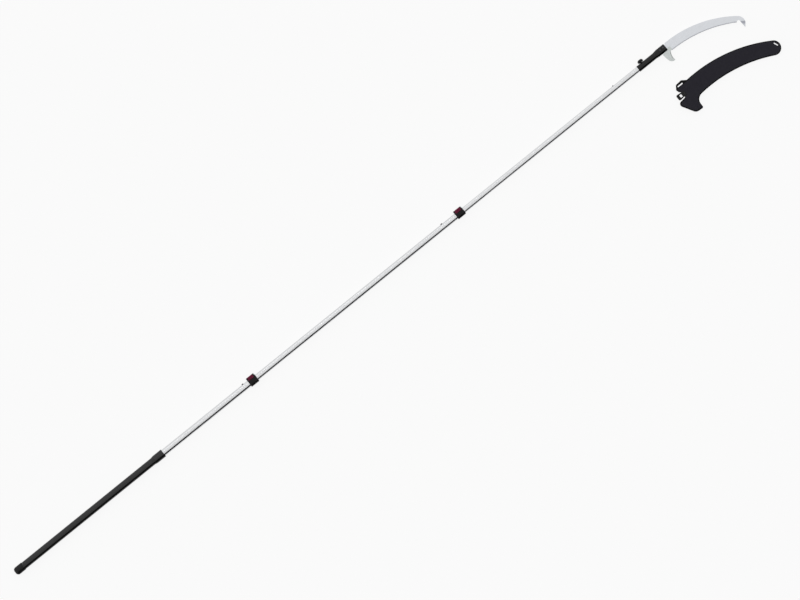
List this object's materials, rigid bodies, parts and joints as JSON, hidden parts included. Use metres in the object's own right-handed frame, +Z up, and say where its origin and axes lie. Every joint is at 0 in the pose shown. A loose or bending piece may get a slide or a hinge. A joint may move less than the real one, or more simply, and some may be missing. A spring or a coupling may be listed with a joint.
{
  "type": "pole saw",
  "caption": "Telescopic pole saw with oval tubes, lever clamps and a curved hooked blade with an under-cut sickle, beside its blade sheath.",
  "frame": {"origin": "middle of the flat end of the butt cap, on the pole's axis", "axes": "+X along the pole from the butt to the blade, +Y to the spine side, where the levers and the head knob are, +Z up from the ground that the saw lies on, 19 mm under the axis"},
  "size_m": [4.9608, 0.4435, 0.0395],
  "materials": {
    "aluminium": "satin, drawn lengthwise",
    "blade_steel": "fine ground, bright",
    "sickle_steel": "ground, dull",
    "dark_steel": "blackened",
    "spring_steel": "plain",
    "grip_rubber": "matte, finely ribbed",
    "black_rubber": "matte",
    "black_plastic": "satin, moulded",
    "grey_plastic": "matte",
    "red_plastic": "dark red, half gloss",
    "sheath_plastic": "fine grained"
  },
  "bodies": {
    "base": {"butt_cap": "black_rubber", "grip_sleeve": "grip_rubber", "base_tube": "aluminium", "lower_clamp_housing": "black_plastic", "lower_clamp_bush": "grey_plastic", "lower_lever_pin": "dark_steel", "lower_clamp_screw": "dark_steel", "lower_button_boss": "black_plastic"},
    "lower_lever": {"lower_clamp_lever": "red_plastic"},
    "lower_pad": {"lower_brake_pad": "black_rubber"},
    "lower_button": {"lower_release_button": "black_plastic"},
    "middle": {"middle_tube": "aluminium", "middle_end_bush": "grey_plastic", "middle_lock_spring": "spring_steel", "upper_clamp_housing": "black_plastic", "upper_clamp_bush": "grey_plastic", "upper_lever_pin": "dark_steel", "upper_clamp_screw": "dark_steel", "upper_button_boss": "black_plastic"},
    "upper_lever": {"upper_clamp_lever": "red_plastic"},
    "upper_pad": {"upper_brake_pad": "black_rubber"},
    "upper_button": {"upper_release_button": "black_plastic"},
    "top": {"top_tube": "aluminium", "top_end_bush": "grey_plastic", "top_lock_spring": "spring_steel", "stow_spring": "spring_steel"},
    "stow": {"stow_stud": "dark_steel"},
    "head": {"head_socket": "black_plastic", "jaw_plate": "black_plastic", "blade": "blade_steel", "sickle": "sickle_steel", "blade_bolt_1": "dark_steel", "blade_bolt_2": "dark_steel", "blade_nut_1": "dark_steel", "blade_nut_2": "dark_steel"},
    "knob_screw": {"knob_stud": "dark_steel"},
    "knob": {"head_knob": "black_plastic"},
    "sheath": {"sheath_front_shell": "sheath_plastic", "sheath_back_shell": "sheath_plastic", "retaining_loop": "black_rubber", "loop_rivet": "dark_steel", "sheath_rivet_1": "dark_steel", "sheath_rivet_2": "dark_steel", "sheath_rivet_3": "dark_steel", "sheath_rivet_4": "dark_steel", "sheath_rivet_5": "dark_steel"}
  },
  "joints": [
    {"name": "middle_slide", "type": "slide", "parent": "base", "child": "middle", "axis": [1, 0, 0], "range_m": [-1.275, 0], "deforming": ["middle_lock_spring"]},
    {"name": "top_slide", "type": "slide", "parent": "middle", "child": "top", "axis": [1, 0, 0], "range_m": [-1.12, 0], "deforming": ["top_lock_spring"]},
    {"name": "lower_lever_turn", "type": "hinge", "parent": "base", "child": "lower_lever", "pos_m": [1.6345, 0.0259, -0.0065], "axis": [-1, 0, 0], "range_deg": [0, 95]},
    {"name": "upper_lever_turn", "type": "hinge", "parent": "middle", "child": "upper_lever", "pos_m": [3.0575, 0.0241, -0.0065], "axis": [-1, 0, 0], "range_deg": [0, 95]},
    {"name": "lower_pad_lift", "type": "slide", "parent": "base", "child": "lower_pad", "axis": [0, 1, 0], "range_m": [0, 0.0006]},
    {"name": "upper_pad_lift", "type": "slide", "parent": "middle", "child": "upper_pad", "axis": [0, 1, 0], "range_m": [0, 0.0006]},
    {"name": "lower_release", "type": "slide", "parent": "base", "child": "lower_button", "axis": [0, 1, 0], "range_m": [-0.001, 0], "stiffness_N_per_m": 300, "springref_m": 0.002},
    {"name": "upper_release", "type": "slide", "parent": "middle", "child": "upper_button", "axis": [0, 1, 0], "range_m": [-0.001, 0], "stiffness_N_per_m": 300, "springref_m": 0.002},
    {"name": "stow_press", "type": "slide", "parent": "top", "child": "stow", "axis": [0, 1, 0], "range_m": [-0.0036, 0], "stiffness_N_per_m": 300, "springref_m": 0.002, "deforming": ["stow_spring"]},
    {"name": "head_slide", "type": "slide", "parent": "top", "child": "head", "axis": [1, 0, 0], "range_m": [0, 0.11]},
    {"name": "knob_travel", "type": "slide", "parent": "head", "child": "knob_screw", "axis": [0, 1, 0], "range_m": [0, 0.002]},
    {"name": "knob_turn", "type": "hinge", "parent": "knob_screw", "child": "knob", "pos_m": [4.319, 0.028, 0], "axis": [0, 1, 0], "range_deg": [0, 720]},
    {"name": "sheath_lift", "type": "slide", "parent": "base", "child": "sheath", "axis": [0, 0, 1], "range_m": [0, 0.3]}
  ],
  "couplings": [
    {"joint": "lower_pad_lift", "follows": "lower_lever_turn", "m_per_rad": 0.00036},
    {"joint": "upper_pad_lift", "follows": "upper_lever_turn", "m_per_rad": 0.00036},
    {"joint": "knob_travel", "follows": "knob_turn", "m_per_rad": 0.000159}
  ]
}
